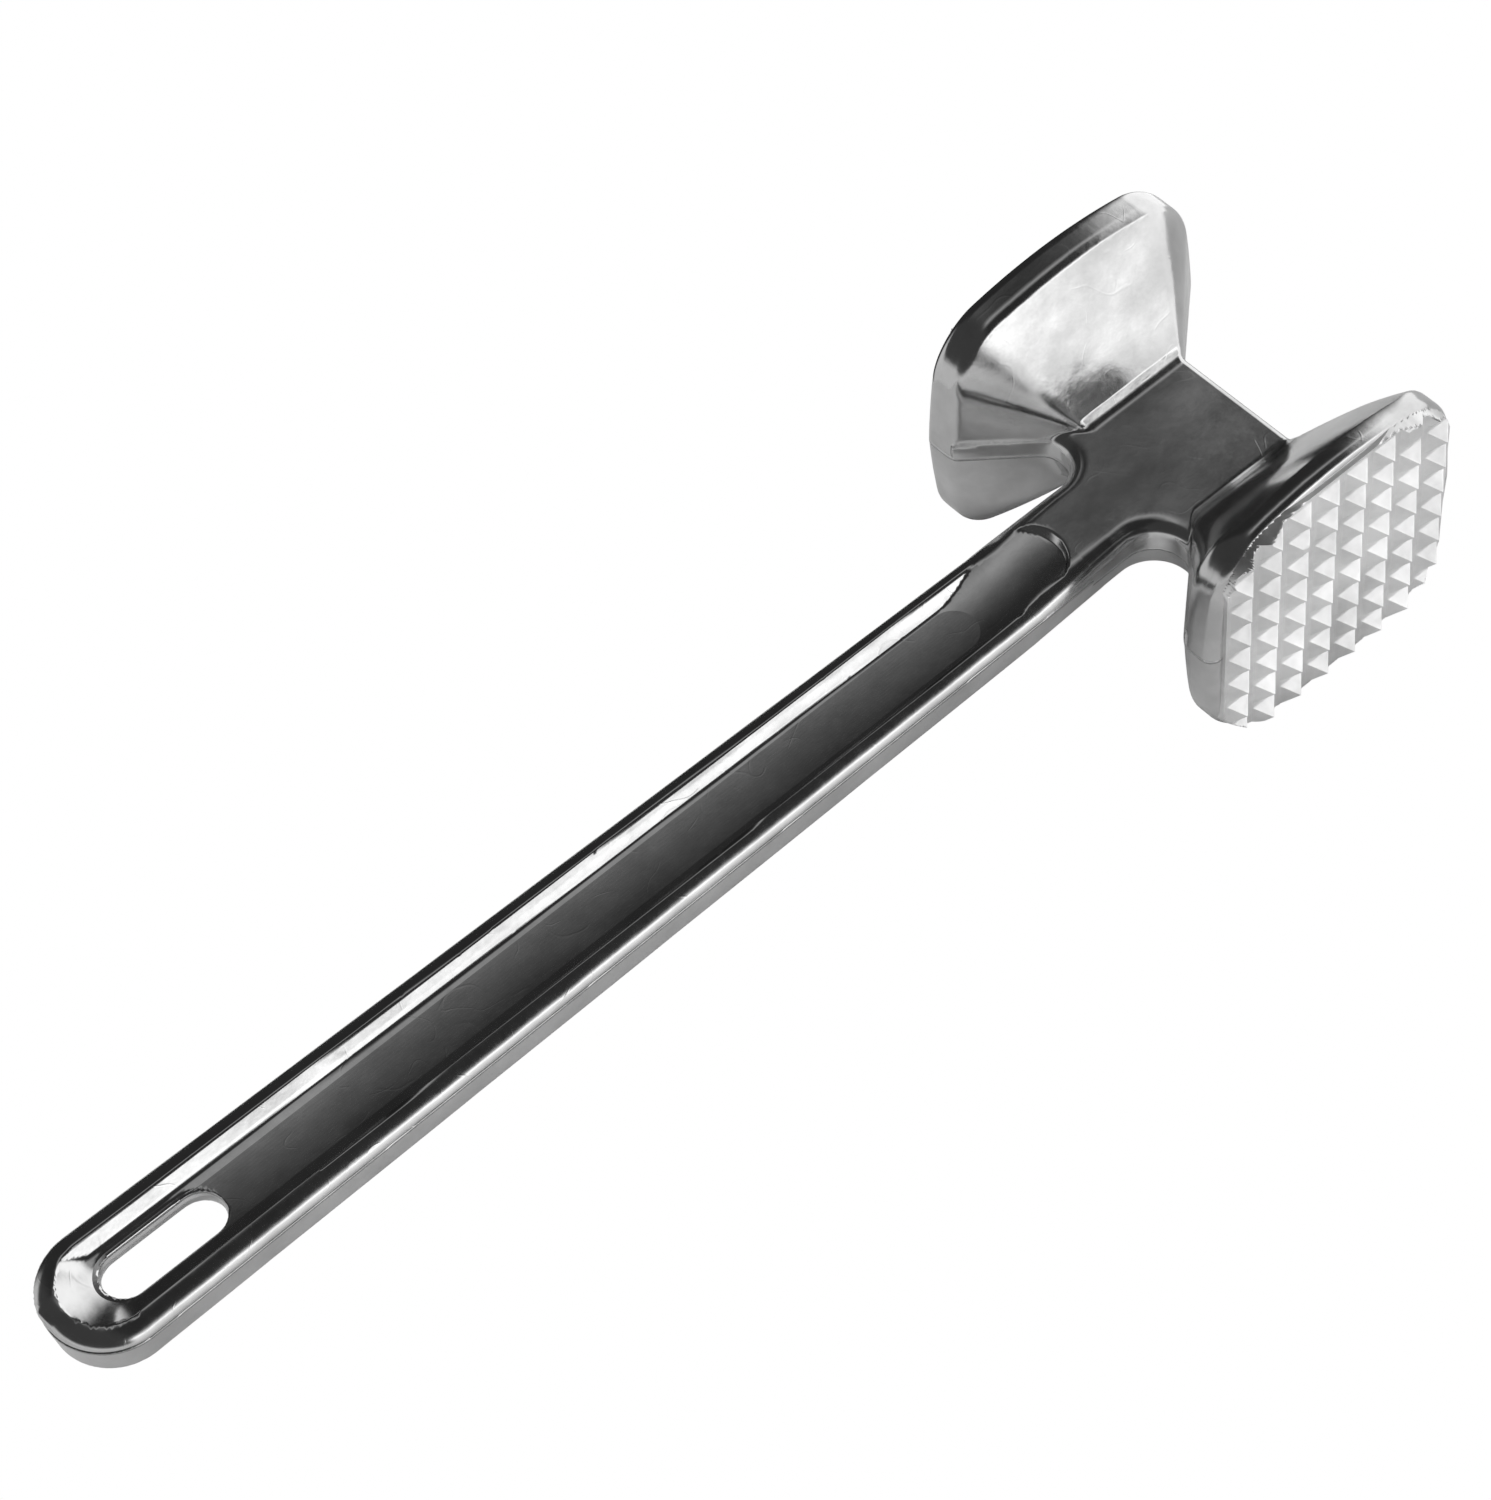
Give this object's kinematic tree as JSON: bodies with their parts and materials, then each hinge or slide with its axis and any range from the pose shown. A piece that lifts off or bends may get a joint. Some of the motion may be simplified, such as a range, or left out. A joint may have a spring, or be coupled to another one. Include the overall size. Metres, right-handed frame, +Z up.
{
  "type": "meat mallet",
  "caption": "Two-faced cast aluminium meat mallet: a long channelled handle with a hang slot and a twin-plate head with coarse and fine square teeth.",
  "frame": {"origin": "middle of the bounding box in plan, on its lowest plane, with the mallet lying on the lower sides of its two plates", "axes": "+X along the handle from the hanging loop towards the head; +Y from the coarse teeth towards the fine teeth; +Z up, across the die's parting plane"},
  "size_m": [0.2394, 0.0648, 0.0488],
  "materials": {
    "cast_aluminium": "polished, with fine scratches"
  },
  "bodies": {
    "root": {"hanging_loop": "cast_aluminium", "handle_bar": "cast_aluminium", "neck": "cast_aluminium", "head_block": "cast_aluminium", "fine_plate": "cast_aluminium", "fine_teeth": "cast_aluminium", "coarse_plate": "cast_aluminium", "coarse_teeth": "cast_aluminium"}
  },
  "joints": []
}
